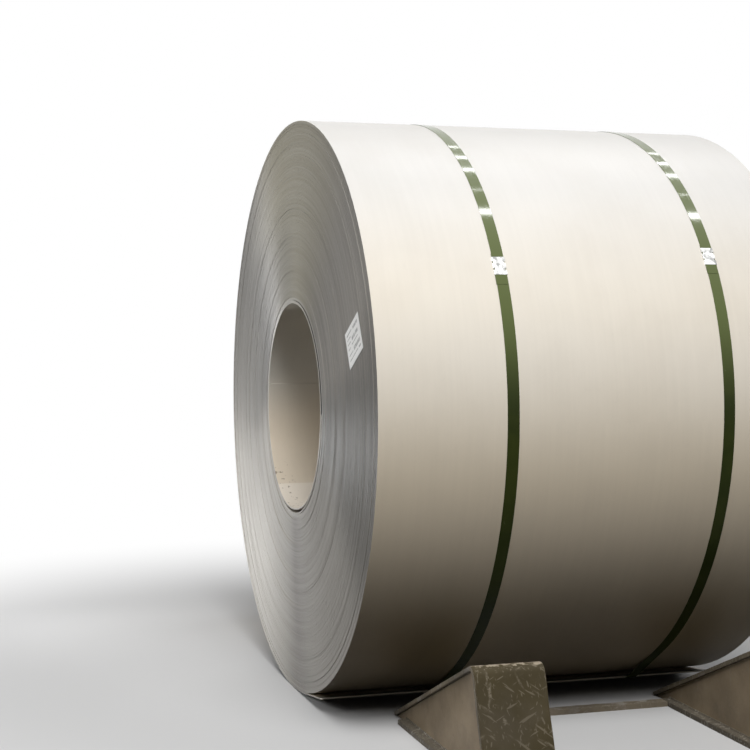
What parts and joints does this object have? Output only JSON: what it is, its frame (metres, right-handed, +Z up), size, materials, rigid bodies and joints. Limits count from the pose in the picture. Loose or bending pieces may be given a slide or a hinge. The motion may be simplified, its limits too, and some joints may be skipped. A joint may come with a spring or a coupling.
{
  "type": "steel coil",
  "caption": "Strapped coil of wound steel strip lying on its side between welded chocks, with a through bore and a blank paper label on one end.",
  "frame": {"origin": "on the floor, under the middle of the coil's width and under its axis", "axes": "+X along the coil axis away from the labelled end, -Y the side of the loose strip end, +Z up"},
  "size_m": [1.2194, 2.1314, 1.6697],
  "materials": {
    "coil_steel": "satin pickled hot rolled strip",
    "strap_paint": "gloss dark green",
    "seal_zinc": "bright zinc plate",
    "label_paper": "matte white paper",
    "chock_steel": "worn and scratched"
  },
  "bodies": {
    "root": {"coil": "coil_steel", "strap_front": "strap_paint", "strap_rear": "strap_paint", "seal_front": "seal_zinc", "seal_rear": "seal_zinc", "label": "label_paper", "chock_near_front": "chock_steel", "chock_near_rear": "chock_steel", "chock_far_front": "chock_steel", "chock_far_rear": "chock_steel", "tie_near": "chock_steel", "tie_far": "chock_steel"}
  },
  "joints": []
}
